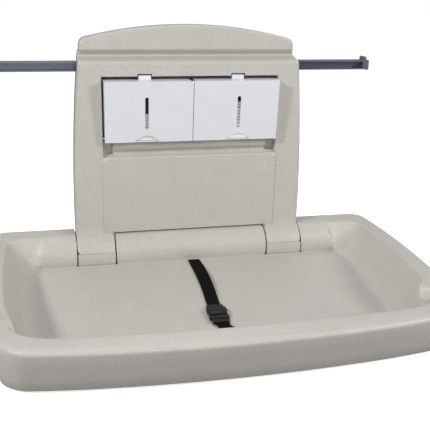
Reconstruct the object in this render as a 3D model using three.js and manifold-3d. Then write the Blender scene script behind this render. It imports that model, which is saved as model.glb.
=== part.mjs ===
// Wall-mounted fold-down changing table: a moulded panel on the wall, a moulded bed that folds up
// over it on a steel hinge, two liner dispensers in the panel and a steel bar behind it.
// Millimetres. X to the right, +Y into the wall, +Z up. Y = 0 is the wall and Z = 0 the hinge axis.

import * as THREE from 'three';
import { mergeVertices } from 'three/addons/utils/BufferGeometryUtils.js';
import Module from 'manifold-3d';

const wasm = await Module();
wasm.setup();

// ---------- driving dimensions ----------

const GAP = 0.4;              // between touching pieces
const WALL = 3.5;             // thickness of the mouldings

// hinge
const HINGE_Y = -56;
const BARREL_R = 42;
const FINGER_R = 44;
const FINGER_X = [164.5, 241];
const PIN_R = 6;
const SEAM_Z = 10.6;

// bed, with s the distance in front of its back edge
const BED_BACK_Y = -12;
const BED_HALF = 420;
const BED_LENGTH = 562;
const RIM_Z = 42;
const SEAM_BELOW_Z = -46;     // where the upper shell meets the underside
const BED_BOTTOM_Z = -52;
const FLOOR_BACK = [84, -14.5];   // s and z where the basin's floor starts to fall
const FLOOR_FRONT = [400, -45];   // and where it levels out
const SIDE_BOW_R = 1900;
const WIDEST_S = 190;
const FRONT_BOW_R = 2700;
const BASIN_BOW_R = 9000;
const NOTCH_S = [389, 449];
const NOTCH_BOTTOM_Z = 2;
const WALL_SWING_R = 55;      // the bed's reach behind the hinge as it turns past the wall
const PLATE_SWING_R = 47;     // and past the hinge plate's screws

// wall panel
const PANEL_HALF = 241.8;
const PANEL_SIDE_R = 3240;
const FACE_Y = -66;
const PLATE_Y = -36;
const PLATE_HALF = 222;
const STEP_Z = 397;
const ARCH_Z = 467;
const ARCH_R = 860;
const PANEL_FOOT_Z = 45;

// liner dispensers
const TUB_HALF = 178.5;
const TUB_Z = [239.4, 362.4];
const TUB_FRONT_Y = [-79.5, -89];
const TUB_BACK_Y = -30;
const RECESS_HALF = 182;
const RECESS_Z = [236, 369];
const RECESS_BACK_Y = -14;
const SLOT_X = 94.8;
const TUB_PIVOT = [-64, 246];
const TUB_PIN_R = 2.5;
const TAB_X = 96;

// mounting bar
const BAR_Z = 384;
const BAR_HEIGHT = 19.5;
const BAR_DEPTH = 22;
const BAR_HALF = 401;
const STUD_X = 203;

const colour = { grey: 0xbebbb6, white: 0xdddee1, steel: 0x484b51, zinc: 0xa8abae,
  black: 0x121213, paper: 0xf1ede4, nylon: 0x2a2b2d };

// ---------- solids ----------

function material(tone, roughness = 0.6, metalness = 0) {
  return new THREE.MeshStandardMaterial({ color: colour[tone], roughness, metalness });
}

function solid(geometry) {
  const bare = geometry.clone();
  bare.deleteAttribute('normal');
  bare.deleteAttribute('uv');
  const merged = mergeVertices(bare, 1e-4);
  return new wasm.Manifold(new wasm.Mesh({
    numProp: 3,
    vertProperties: new Float32Array(merged.attributes.position.array),
    triVerts: new Uint32Array(merged.index.array),
  }));
}

function mesh(name, body, tone, roughness, metalness) {
  let geometry = body;
  if (!body.isBufferGeometry) {
    const out = body.getMesh();
    geometry = new THREE.BufferGeometry();
    geometry.setAttribute('position', new THREE.BufferAttribute(out.vertProperties, 3));
    geometry.setIndex(new THREE.BufferAttribute(out.triVerts, 1));
  }
  const part = new THREE.Mesh(geometry, material(tone, roughness, metalness));
  part.name = name;
  return part;
}

function box(x, y, z) {
  const geometry = new THREE.BoxGeometry(x[1] - x[0], y[1] - y[0], z[1] - z[0]);
  geometry.translate((x[0] + x[1]) / 2, (y[0] + y[1]) / 2, (z[0] + z[1]) / 2);
  return geometry;
}

// A round bar, or a tube where inner is given, along X, Y or Z.
function rod(axis, radius, from, to, at, sides = 24, inner = 0) {
  const half = (to - from) / 2;
  const points = inner > 0
    ? [[inner, -half], [radius, -half], [radius, half], [inner, half], [inner, -half]]
    : [[0, -half], [radius, -half], [radius, half], [0, half]];
  const geometry = new THREE.LatheGeometry(points.map((p) => new THREE.Vector2(...p)), sides);
  if (axis === 'x') geometry.rotateZ(-Math.PI / 2);
  if (axis === 'z') geometry.rotateX(Math.PI / 2);
  const middle = (from + to) / 2;
  const place = { x: [middle, ...at], y: [at[0], middle, at[1]], z: [...at, middle] };
  geometry.translate(...place[axis]);
  return geometry;
}

// An outline in X and Z carried along Y.
function plateXZ(shape, y0, y1, segments = 6) {
  const geometry = new THREE.ExtrudeGeometry(shape, {
    depth: y1 - y0, bevelEnabled: false, curveSegments: segments });
  geometry.rotateX(Math.PI / 2);
  geometry.translate(0, y1, 0);
  return geometry;
}

// An outline in Y and Z carried along X.
function plateYZ(shape, x0, x1, segments = 6) {
  const geometry = new THREE.ExtrudeGeometry(shape, {
    depth: x1 - x0, bevelEnabled: false, curveSegments: segments });
  geometry.rotateY(Math.PI / 2);
  geometry.rotateX(Math.PI / 2);
  geometry.translate(x0, 0, 0);
  return geometry;
}

function outline(points) {
  return new THREE.Shape(points.map(([a, b]) => new THREE.Vector2(a, b)));
}

function roundedRectangle(a0, a1, b0, b1, r) {
  const shape = new THREE.Shape();
  shape.moveTo(a0 + r, b0);
  shape.lineTo(a1 - r, b0);
  shape.absarc(a1 - r, b0 + r, r, -Math.PI / 2, 0);
  shape.lineTo(a1, b1 - r);
  shape.absarc(a1 - r, b1 - r, r, 0, Math.PI / 2);
  shape.lineTo(a0 + r, b1);
  shape.absarc(a0 + r, b1 - r, r, Math.PI / 2, Math.PI);
  shape.lineTo(a0, b0 + r);
  shape.absarc(a0 + r, b0 + r, r, Math.PI, Math.PI * 1.5);
  return shape;
}

function cutAll(body, cutters) {
  return cutters.reduce((rest, cutter) => rest.subtract(solid(cutter)), body);
}

const sides = [['left', -1], ['right', 1]];
const span = (sign, inner, outer) => (sign > 0 ? [inner, outer] : [-outer, -inner]);

// ---------- wall panel ----------

// Front view: curved cheeks, rounded shoulders and an arched top, inset all round for the hollow.
function panelFront(inset, footZ) {
  const points = [];
  const half = (z) => PANEL_HALF - Math.max(0, z - 82) ** 2 / (2 * PANEL_SIDE_R) - inset;
  const arch = (x) => ARCH_Z - inset - x * x / (2 * ARCH_R);
  for (const z of [footZ, 82, 160, 240, 320, STEP_Z + 8]) points.push([half(z), z]);
  const plate = PLATE_HALF - inset;
  const corner = 16;
  points.push([plate, STEP_Z + 16 - inset]);
  for (let i = 0; i <= 4; i += 1) {
    const a = (i / 4) * Math.PI / 2;
    const top = arch(plate - corner);
    points.push([plate - corner + corner * Math.cos(a), top - corner + corner * Math.sin(a)]);
  }
  for (const x of [160, 110, 55]) points.push([x, arch(x)]);
  points.push([0, arch(0)]);
  const left = points.slice(0, -1).reverse().map(([x, z]) => [-x, z]);
  return outline([...points, ...left]);
}

// Side view: foot, flat face, ledge, V groove and the set-back top plate.
function panelSide(inset, footZ) {
  return outline([
    [inset > 0 ? 2 : 0, footZ], [FACE_Y + inset, footZ], [FACE_Y + inset, STEP_Z - 6 - inset],
    [FACE_Y + 5 + inset, STEP_Z + 1 - inset], [-31 + inset, STEP_Z + 8 - inset],
    [-28 + inset, STEP_Z + 13 - inset], [PLATE_Y + inset, STEP_Z + 20],
    [PLATE_Y + inset, ARCH_Z + 5], [inset > 0 ? 2 : 0, ARCH_Z + 5],
  ]);
}

function wallPanel() {
  const skin = solid(plateXZ(panelFront(0, PANEL_FOOT_Z), -80, 0))
    .intersect(solid(plateYZ(panelSide(0, PANEL_FOOT_Z), -260, 260)));
  const hollow = solid(plateXZ(panelFront(WALL, PANEL_FOOT_Z + WALL), -80, 5))
    .intersect(solid(plateYZ(panelSide(WALL, PANEL_FOOT_Z + WALL), -260, 260)));
  let body = skin.subtract(hollow);
  // pocket for the tubs and the pull groove below them
  const pocketX = [-RECESS_HALF - WALL, RECESS_HALF + WALL];
  const pocketZ = [RECESS_Z[0] - WALL, RECESS_Z[1] + WALL];
  body = body.add(solid(box(pocketX, [FACE_Y + 1, RECESS_BACK_Y], pocketZ)));
  const mouth = box([-RECESS_HALF, RECESS_HALF], [-90, RECESS_BACK_Y - WALL], RECESS_Z);
  body = body.subtract(solid(mouth));
  const backing = box(pocketX, [FACE_Y + 1, -42], [202, pocketZ[0] + 1]);
  const groove = outline([[-80, 207], [FACE_Y, 207], [-46, 211], [-60, 219], [-62, 230], [-80, 230]]);
  body = body.add(solid(backing)).subtract(solid(plateYZ(groove, -RECESS_HALF, RECESS_HALF)));
  const web = box([-3, 3], [-72, RECESS_BACK_Y - 1], [RECESS_Z[0] - 1, RECESS_Z[1] + 1]);
  body = body.add(solid(web));
  body = body.subtract(solid(rod('x', TUB_PIN_R + 0.3, -183.6, 183.6, TUB_PIVOT, 16)));
  for (const [, sign] of sides) {
    const relief = roundedRectangle(sign * TAB_X - 14.5, sign * TAB_X + 14.5, 360, 374, 3);
    body = body.subtract(solid(plateXZ(relief, -90, -44, 3)));
  }
  // hinge fingers, hollow round the steel ears, open below where the covers close them
  for (const [, sign] of sides) {
    const x = span(sign, ...FINGER_X);
    const inner = span(sign, FINGER_X[0] + WALL, FINGER_X[1] - WALL);
    const outer = solid(rod('x', FINGER_R, x[0], x[1], [HINGE_Y, 0], 40))
      .add(solid(box(x, [-50, -8], [0, PANEL_FOOT_Z + 4])))
      .add(solid(box(x, [FACE_Y + 0.2, -40], [30, PANEL_FOOT_Z + 4])));
    const keep = solid(box([-300, 300], [-120, 0], [SEAM_Z, 60]));
    const core = solid(rod('x', FINGER_R - WALL, inner[0], inner[1], [HINGE_Y, 0], 40))
      .add(solid(box(inner, [-50, 5], [-2, PANEL_FOOT_Z + 8])))
      .add(solid(box(inner, [FACE_Y + WALL, -40], [30, PANEL_FOOT_Z + 8])));
    body = body.add(outer.intersect(keep)).subtract(core);
  }
  // sides let the mounting bar through
  const barZ = [BAR_Z - BAR_HEIGHT / 2 - 2, BAR_Z + BAR_HEIGHT / 2 + 2];
  return body.subtract(solid(box([-260, 260], [-BAR_DEPTH - 2, 5], barZ)));
}

// ---------- mounting bar ----------

// Steel channel, its web on the wall and its flanges forward, with turned-up ends.
function mountingBar() {
  const z = [BAR_Z - BAR_HEIGHT / 2, BAR_Z + BAR_HEIGHT / 2];
  let bar = solid(box([-BAR_HALF, BAR_HALF], [-BAR_DEPTH, 0], z));
  const trough = box([-BAR_HALF - 5, BAR_HALF + 5], [-BAR_DEPTH - 5, -2.5], [z[0] + 2.5, z[1] - 2.5]);
  bar = bar.subtract(solid(trough));
  for (const [, sign] of sides) {
    const ear = roundedRectangle(...span(sign, BAR_HALF - 12, BAR_HALF - 5), z[0], z[1] + 8, 3.4);
    bar = bar.add(solid(plateXZ(ear, -BAR_DEPTH, 0, 4)));
    const stop = roundedRectangle(...span(sign, BAR_HALF - 7, BAR_HALF + 1), z[0] - 1, z[1] + 1, 3);
    bar = bar.add(solid(plateXZ(stop, -BAR_DEPTH - 1, -1, 4)));
  }
  const holes = sides.map(([, sign]) => rod('y', 4, -10, 5, [sign * STUD_X, BAR_Z], 16));
  return cutAll(bar, holes);
}

// A hexagon-headed screw, its shank running back to the wall.
function wallScrew(x, z, headY) {
  const head = solid(rod('y', 6, headY - 3, headY, [x, z], 6));
  return head.add(solid(rod('y', 3.6, headY - 1, 0, [x, z], 12)));
}

// ---------- hinge ----------

const PLATE_HALF_X = 238;
const PLATE_SCREW_X = [80, 202.5];
const EAR_X = [184, 221];
const EAR_T = 4;
const PIN_X = [148, 257];
const BUSH_R = 9;

function hingePlate() {
  let plate = solid(box([-PLATE_HALF_X, PLATE_HALF_X], [-4, 0], [-30, 30]));
  const holes = [];
  for (const [, sign] of sides) {
    for (const x of EAR_X) {
      const ear = outline([[-2, -22], [HINGE_Y, -14], [HINGE_Y - 12, -8], [HINGE_Y - 14, 0],
        [HINGE_Y - 12, 8], [HINGE_Y, 14], [-2, 22]]);
      plate = plate.add(solid(plateYZ(ear, sign * x - EAR_T / 2, sign * x + EAR_T / 2)));
    }
    holes.push(rod('x', PIN_R + 0.1, ...span(sign, 170, 236), [HINGE_Y, 0]));
    for (const x of PLATE_SCREW_X) holes.push(rod('y', 4, -10, 5, [sign * x, 0], 16));
  }
  return cutAll(plate, holes);
}

// The cap under a finger, from the seam round to the back.
function fingerCover(sign) {
  const x = span(sign, ...FINGER_X);
  const inner = span(sign, FINGER_X[0] + WALL, FINGER_X[1] - WALL);
  const cap = solid(rod('x', FINGER_R, x[0], x[1], [HINGE_Y, 0], 40))
    .subtract(solid(rod('x', FINGER_R - WALL, inner[0], inner[1], [HINGE_Y, 0], 40)))
    .intersect(solid(box([-300, 300], [-120, -30], [-60, SEAM_Z - GAP])));
  const hole = rod('z', 2.4, -60, -30, [sign * PLATE_SCREW_X[1], HINGE_Y], 12);
  const pinGap = box([-300, 300], [HINGE_Y - PIN_R - 0.6, HINGE_Y + PIN_R + 0.6], [0, 20]);
  const pinRound = rod('x', PIN_R + 0.6, -300, 300, [HINGE_Y, 0], 24);
  return cutAll(cap, [hole, pinGap, pinRound]);
}

// A round-headed screw pointing up, z0 being the underside of its head.
function capScrew(x, y, z0, z1, r, headT = r) {
  const head = solid(rod('z', r * 1.9, z0 - headT, z0, [x, y], 16));
  return head.add(solid(rod('z', r, z0 - 0.5, z1, [x, y], 12)));
}

// ---------- liner dispensers ----------

// A shallow white tub, open behind, with a slot to see the liners and a thumb notch below.
function tub(sign) {
  const sideView = (inset, backY) => outline([
    [backY, TUB_Z[0] + inset], [TUB_FRONT_Y[0] + inset, TUB_Z[0] + inset],
    [TUB_FRONT_Y[1] + inset, TUB_Z[1] - inset], [backY, TUB_Z[1] - inset]]);
  const skin = 2.2;
  const walls = solid(plateYZ(sideView(0, TUB_BACK_Y), ...span(sign, 5, TUB_HALF)));
  const front = solid(plateYZ(outline([TUB_Z[0], TUB_Z[1]].flatMap((z, i) => (i === 0
    ? [[TUB_FRONT_Y[0] + skin, z], [TUB_FRONT_Y[0], z]]
    : [[TUB_FRONT_Y[1], z], [TUB_FRONT_Y[1] + skin, z]]))), ...span(sign, 0.6, 12)));
  const hollow = plateYZ(sideView(skin, TUB_BACK_Y + 5), ...span(sign, 5 + skin, TUB_HALF - skin));
  const x = sign * SLOT_X;
  const slot = roundedRectangle(x - 3.5, x + 3.5, 265, 331, 3.4);
  const notch = rod('y', 32.5, -110, TUB_FRONT_Y[0] + skin, [x, TUB_Z[0] + 13 - 32.5], 40);
  const mouth = box([x - 60, x + 60], [TUB_FRONT_Y[0] + 4, TUB_FRONT_Y[0] + 20],
    [TUB_Z[0] - 5, TUB_Z[0] + 5]);
  const pinHole = rod('x', TUB_PIN_R + 0.15, ...span(sign, 0, TUB_HALF + 5), TUB_PIVOT, 16);
  const tabHole = box([sign * TAB_X - 13, sign * TAB_X + 13], [-67, -47], [350, 370]);
  return cutAll(walls.add(front), [hollow, plateXZ(slot, -110, -60), notch, mouth, pinHole, tabHole]);
}

// The sprung snap tab at the top of a tub, with a slotted rib below its head.
function latchTab(sign) {
  const x = [sign * TAB_X - 12.4, sign * TAB_X + 12.4];
  const head = outline([[-66.4, 364], [-65, 370], [-62, 371.5], [-47.6, 371.5], [-47.6, 355],
    [-66.4, 355]]);
  return solid(plateYZ(head, ...x)).subtract(solid(box([x[0] + 3, x[1] - 3], [-60, -40], [350, 361])));
}

function linerStack(sign, topZ) {
  const stack = outline([[-46, 242.4], [-76, 242.4], [-76 - (topZ - 242.4) * 0.07, topZ],
    [-46, topZ - 2]]);
  return solid(plateYZ(stack, ...span(sign, 22, 166)));
}

// A pin that a tub turns on, held in the pocket's side wall or in the web between the tubs.
function tubPin(from, to) {
  return solid(rod('x', TUB_PIN_R, from, to, TUB_PIVOT, 16));
}

// ---------- bed ----------

const toY = (s) => BED_BACK_Y - s;
const floorZ = (s) => {
  const t = Math.min(1, (s - FLOOR_BACK[0]) / (FLOOR_FRONT[0] - FLOOR_BACK[0]));
  return FLOOR_BACK[1] + t * (FLOOR_FRONT[1] - FLOOR_BACK[1]);
};

// One closed loop of the bed: a rounded rectangle whose sides and front bow outwards.
function loop({ half, back, front, z, corners = [30, 60], bow = FRONT_BOW_R, drop = 0 }) {
  const deep = (front - back) / 2;
  const flat = [];
  const arc = (cx, cy, r, from) => {
    for (let i = 0; i <= 5; i += 1) {
      const a = from + (i / 5) * Math.PI / 2;
      flat.push([cx + r * Math.cos(a), cy + r * Math.sin(a)]);
    }
  };
  const line = (count, from, to) => {
    for (let i = 1; i <= count; i += 1) {
      const t = i / (count + 1);
      flat.push([from[0] + t * (to[0] - from[0]), from[1] + t * (to[1] - from[1])]);
    }
  };
  const [rb, rf] = corners;
  line(5, [-half + rb, -deep], [half - rb, -deep]);
  arc(half - rb, -deep + rb, rb, -Math.PI / 2);
  line(4, [half, -deep + rb], [half, deep - rf]);
  arc(half - rf, deep - rf, rf, 0);
  line(9, [half - rf, deep], [-half + rf, deep]);
  arc(-half + rf, deep - rf, rf, Math.PI / 2);
  line(4, [-half, deep - rf], [-half, -deep + rb]);
  arc(-half + rb, -deep + rb, rb, Math.PI);
  return flat.map(([px, py]) => {
    const t = (py + deep) / (2 * deep);
    const far = front - px * px / (2 * bow);
    const s = back + t * (far - back);
    const x = px * (1 - (s - WIDEST_S) ** 2 / (2 * SIDE_BOW_R * half));
    return new THREE.Vector3(x, toY(s), (typeof z === 'function' ? z(s) : z) - drop);
  });
}

// Loops joined from the centre of the underside, out, up, over the rim and in to the floor's centre.
function loft(loops) {
  const count = loops[0].length;
  const centre = (points) => points.reduce((sum, p) => sum.add(p), new THREE.Vector3())
    .divideScalar(count);
  const rings = loops.map((points) => points.map((p) => p.clone()));
  const points = [centre(loops[0]), ...rings.flat(), centre(loops[loops.length - 1])];
  const index = [];
  const at = (ring, i) => 1 + ring * count + (i % count);
  for (let i = 0; i < count; i += 1) {
    index.push(0, at(0, i), at(0, i + 1));
    for (let ring = 0; ring + 1 < loops.length; ring += 1) {
      index.push(at(ring, i), at(ring + 1, i), at(ring, i + 1));
      index.push(at(ring, i + 1), at(ring + 1, i), at(ring + 1, i + 1));
    }
    index.push(points.length - 1, at(loops.length - 1, i + 1), at(loops.length - 1, i));
  }
  const geometry = new THREE.BufferGeometry().setFromPoints(points);
  geometry.setIndex(index);
  return geometry;
}

// The bed's outer form, or with skin > 0 the hollow inside it, which runs out below.
function bedBlock(skin) {
  const outside = (side, back, front, z) => loop({
    half: BED_HALF - side - skin, back: back + skin, front: BED_LENGTH - front - skin, z });
  const basin = (side, back, front, z, drop = 0) => loop({
    half: BED_HALF - side + skin, back: back - skin, front: BED_LENGTH - front + skin, z, drop,
    bow: BASIN_BOW_R });
  const footZ = skin > 0 ? BED_BOTTOM_Z - 18 : SEAM_BELOW_Z;
  const lowZ = skin > 0 ? SEAM_BELOW_Z : SEAM_BELOW_Z + 4;
  return solid(loft([
    outside(22, 10, 57, footZ),
    outside(19, 8, 53, lowZ),
    outside(12, 6, 39, -28),
    outside(2, 2, 6, 20),
    outside(0, 0, 0, 32 - skin / 2),
    outside(3, 3, 3, 39 - skin),
    loop({ half: BED_HALF - 11, back: 11, front: BED_LENGTH - 13, z: RIM_Z - skin }),
    basin(37, 58, 46, RIM_Z - skin),
    basin(41, 61, 47, RIM_Z - 4 - skin),
    basin(54, 75, 50.5, 8),
    basin(68, 88, 62, floorZ, skin - 10),
    loop({ half: BED_HALF - 90, back: 108, front: BED_LENGTH - 86, z: floorZ, drop: skin, bow: BASIN_BOW_R }),
    loop({ half: BED_HALF - 100, back: 118, front: FLOOR_FRONT[0], z: floorZ, drop: skin, bow: BASIN_BOW_R }),
  ]));
}

const POCKET_X = [162.6, 243.2];
const BARREL_END_X = 306;

// The rounded barrel along the hinge axis, with the rim corner taken off in front of it.
function rollBarrel(block, skin) {
  let body = block;
  const axis = [HINGE_Y, 0];
  const reach = 112;
  const low = (at) => floorZ(at) - skin;
  const ahead = outline([[HINGE_Y, 60], [toY(reach), 60], [toY(reach), low(reach)],
    [toY(FLOOR_BACK[0]), low(FLOOR_BACK[0])], [HINGE_Y, low(FLOOR_BACK[0])]]);
  for (const x of [[-BARREL_END_X, -200], [-220, 220], [200, BARREL_END_X]]) {
    const barrel = () => solid(rod('x', BARREL_R - skin, ...x, axis, 40));
    const front = solid(plateYZ(ahead, ...x)).subtract(barrel());
    const roll = barrel().intersect(solid(box(x, [toY(reach), HINGE_Y], [low(FLOOR_BACK[0]) - 3, 60])));
    body = body.subtract(front).add(roll);
  }
  // the back swings down past the wall and, in the middle, past the hinge plate
  const swing = (x, r) => solid(box(x, [-40, 5], [-80, 60]))
    .subtract(solid(rod('x', r - skin, x[0] - 1, x[1] + 1, axis, 48)));
  const plateX = PLATE_HALF_X + 2;
  body = body.subtract(swing([-BED_HALF - 10, BED_HALF + 10], WALL_SWING_R));
  body = body.subtract(swing([-plateX, plateX], PLATE_SWING_R));
  for (const [, sign] of sides) {
    const x = span(sign, POCKET_X[0] - skin, POCKET_X[1] + skin);
    body = body.subtract(solid(rod('x', FINGER_R + 3 + skin, x[0], x[1], axis, 40)));
    body = body.subtract(solid(box(x, [HINGE_Y - 2, 5], [-80, 60])));
  }
  return body;
}

// Gaps in the side walls that pass the mounting bar when the bed is up.
function barNotch(sign, skin) {
  const shape = roundedRectangle(toY(NOTCH_S[1]) - skin, toY(NOTCH_S[0]) + skin,
    NOTCH_BOTTOM_Z - skin, RIM_Z + 40, 14);
  return solid(plateYZ(shape, ...span(sign, 345, 430), 4));
}

const SLOT_S = 93;
const SCREW_PLACES = [[-330, 140], [0, 140], [330, 140], [-200, 491], [0, 496], [200, 491]];

function bedShell() {
  let outer = rollBarrel(bedBlock(0), 0);
  let inner = rollBarrel(bedBlock(WALL), WALL);
  for (const [, sign] of sides) {
    outer = outer.subtract(barNotch(sign, 0));
    inner = inner.subtract(barNotch(sign, WALL));
  }
  for (const [x, s] of SCREW_PLACES) {
    inner = inner.subtract(solid(rod('z', 6, BED_BOTTOM_Z + PAN_T + GAP, 0, [x, toY(s)], 16)));
  }
  const holes = SCREW_PLACES.map(([x, s]) => rod('z', 2.2, -60, -34, [x, toY(s)], 12));
  holes.push(box([-15, 15], [toY(SLOT_S) - 2, toY(SLOT_S) + 2], [-30, -8]));
  for (const [, sign] of sides) {
    holes.push(rod('x', BUSH_R + 0.2, ...span(sign, PIN_X[0] - 1, PIN_X[1] + 1), [HINGE_Y, 0], 24));
  }
  return cutAll(outer.subtract(inner), holes);
}

const PAN_T = 2.7;
const SINK_DEPTH = 1.5;

// The dished panel that closes the bed below, with its screw heads let in flush.
function bedUnderside() {
  const topZ = SEAM_BELOW_Z - GAP;
  let pan = solid(loft([
    loop({ half: BED_HALF - 35, back: 24, front: BED_LENGTH - 70, z: BED_BOTTOM_Z }),
    loop({ half: BED_HALF - 22, back: 12, front: BED_LENGTH - 57, z: topZ }),
    loop({ half: BED_HALF - 26, back: 16, front: BED_LENGTH - 61, z: topZ }),
    loop({ half: BED_HALF - 38, back: 27, front: BED_LENGTH - 73, z: BED_BOTTOM_Z + PAN_T }),
  ]));
  for (const [, sign] of sides) {
    pan = pan.subtract(solid(box(span(sign, POCKET_X[0], POCKET_X[1]), [-62, 5], [-80, 0])));
  }
  const holes = SCREW_PLACES.map(([x, s]) => rod('z', 2.3, -60, -40, [x, toY(s)], 12));
  const sinks = SCREW_PLACES.map(([x, s]) => rod('z', 4.2, -60, BED_BOTTOM_Z + SINK_DEPTH, [x, toY(s)], 16));
  return cutAll(pan, [...holes, ...sinks]);
}

function hingeBush(sign, inside) {
  const wallX = inside ? POCKET_X[0] : POCKET_X[1];
  const away = inside ? -1 : 1;
  const reach = (a, b) => [wallX + away * a, wallX + away * b].sort((p, q) => p - q);
  const sleeve = solid(rod('x', BUSH_R, ...span(sign, ...reach(0.3, 14)), [HINGE_Y, 0], 24));
  const flange = solid(rod('x', 13, ...span(sign, ...reach(WALL + 0.4, WALL + 2.4)), [HINGE_Y, 0], 24));
  const bore = rod('x', PIN_R + 0.1, ...span(sign, ...reach(-5, 20)), [HINGE_Y, 0], 24);
  return cutAll(sleeve.add(flange), [bore]);
}

// ---------- strap and buckle ----------

const STRAP_W = 25;
const STRAP_T = 1.6;
const BUCKLE_S = [290, 330, 352];
const BUCKLE_T = 8.4;
const FLOOR_SLOPE = Math.atan2(FLOOR_BACK[1] - FLOOR_FRONT[1], FLOOR_FRONT[0] - FLOOR_BACK[0]);

// Webbing carried along points in s and z.
function webbing(points, x0, x1) {
  const low = points.map(([s, z]) => [toY(s), z]);
  const high = points.map(([s, z]) => [toY(s), z + STRAP_T]).reverse();
  return solid(plateYZ(outline([...low, ...high]), x0, x1));
}

const lie = (s, lift = 0.4) => [s, floorZ(s) + lift];

function strapBack() {
  const half = STRAP_W / 2;
  const run = webbing([lie(SLOT_S - 0.9), lie(SLOT_S + 8, 0.9), lie(190, 0.5), lie(282, 0.6),
    lie(BUCKLE_S[0] - 0.4, 2.6)], -half, half);
  const leg = box([-half, half], [toY(SLOT_S + 0.8), toY(SLOT_S - 0.8)], [-26, floorZ(SLOT_S) + 1.6]);
  const foot = box([-half, half], [toY(SLOT_S + 9), toY(SLOT_S - 0.8)], [-26, -24.4]);
  return run.add(solid(leg)).add(solid(foot));
}

function strapAnchorBack() {
  const plate = box([-24, 24], [toY(SLOT_S + 12), toY(SLOT_S - 5)], [-23.6, -21.6]);
  const slot = box([-14, 14], [toY(SLOT_S + 1.6), toY(SLOT_S - 1.6)], [-30, -10]);
  return cutAll(solid(plate), [slot]);
}

const FRONT_ANCHOR_S = 412;

function strapFront() {
  const half = STRAP_W / 2;
  return webbing([lie(BUCKLE_S[2] + 0.4, 2.6), lie(362, 0.8), lie(FLOOR_FRONT[0]),
    lie(FRONT_ANCHOR_S + 8)], -half, half);
}

function strapAnchorFront() {
  const at = FRONT_ANCHOR_S;
  const plate = outline([[toY(at), floorZ(at) + 2.4], [toY(at + 12), floorZ(at + 12) + 2.4],
    [toY(at + 12), floorZ(at + 12) + 4.4], [toY(at), floorZ(at) + 4.4]]);
  return solid(plateYZ(plate, -20, 20));
}

// Turns a piece drawn flat at the floor's height at s so that it lies along the floor.
function onFloor(body, s) {
  const z = floorZ(s) + 0.4;
  const tilt = FLOOR_SLOPE * 180 / Math.PI;
  return body.translate([0, -toY(s), -z]).rotate([tilt, 0, 0]).translate([0, toY(s), z]);
}

function buckleSocket() {
  const s = BUCKLE_S[0];
  const z = floorZ(s) + 0.4;
  const shape = new THREE.Shape();
  const y = [toY(BUCKLE_S[1]), toY(s)];
  shape.moveTo(-16, y[1]);
  shape.quadraticCurveTo(-20, y[1] - 4, -19, y[1] - 14);
  shape.lineTo(-18, y[0]);
  shape.lineTo(18, y[0]);
  shape.lineTo(19, y[1] - 14);
  shape.quadraticCurveTo(20, y[1] - 4, 16, y[1]);
  const block = new THREE.ExtrudeGeometry(shape, { depth: BUCKLE_T, bevelEnabled: false,
    curveSegments: 5 });
  block.translate(0, 0, z);
  const mouth = box([-15.5, 15.5], [y[0] - 5, y[0] + 26], [z + 1.8, z + BUCKLE_T - 1.8]);
  const windows = [-1, 1].map((side) => box([side * 17 - 4, side * 17 + 4], [y[0] + 8, y[0] + 22],
    [z + 1.8, z + BUCKLE_T - 1.8]));
  return onFloor(cutAll(solid(block), [mouth, ...windows]), s);
}

function bucklePlug() {
  const s = BUCKLE_S[0];
  const z = floorZ(s) + 0.4;
  const y = [toY(BUCKLE_S[2]), toY(BUCKLE_S[1]) - 0.5];
  const base = new THREE.ExtrudeGeometry(roundedRectangle(-18, 18, y[0], y[1], 4), {
    depth: BUCKLE_T, bevelEnabled: false, curveSegments: 4 });
  base.translate(0, 0, z);
  let plug = solid(base).subtract(solid(box([-13.5, 13.5], [y[0] + 5, y[0] + 10], [z - 1, z + 20])));
  for (const side of [-1, 1]) {
    const prong = outline([[side * 15, y[1] - 1], [side * 15, y[1] + 16], [side * 11, y[1] + 24],
      [side * 9, y[1] + 20], [side * 12, y[1] + 10], [side * 11, y[1] - 1]]);
    const arm = new THREE.ExtrudeGeometry(prong, { depth: BUCKLE_T - 4.4, bevelEnabled: false });
    arm.translate(0, 0, z + 2.2);
    plug = plug.add(solid(arm));
  }
  const guide = box([-3, 3], [y[1] - 1, y[1] + 18], [z + 2.2, z + BUCKLE_T - 2.2]);
  return onFloor(plug.add(solid(guide)), s);
}

// ---------- the changing table ----------

const table = new THREE.Group();
const add = (name, body, tone, roughness, metalness) => {
  table.add(mesh(name, body, tone, roughness, metalness));
};

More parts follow.
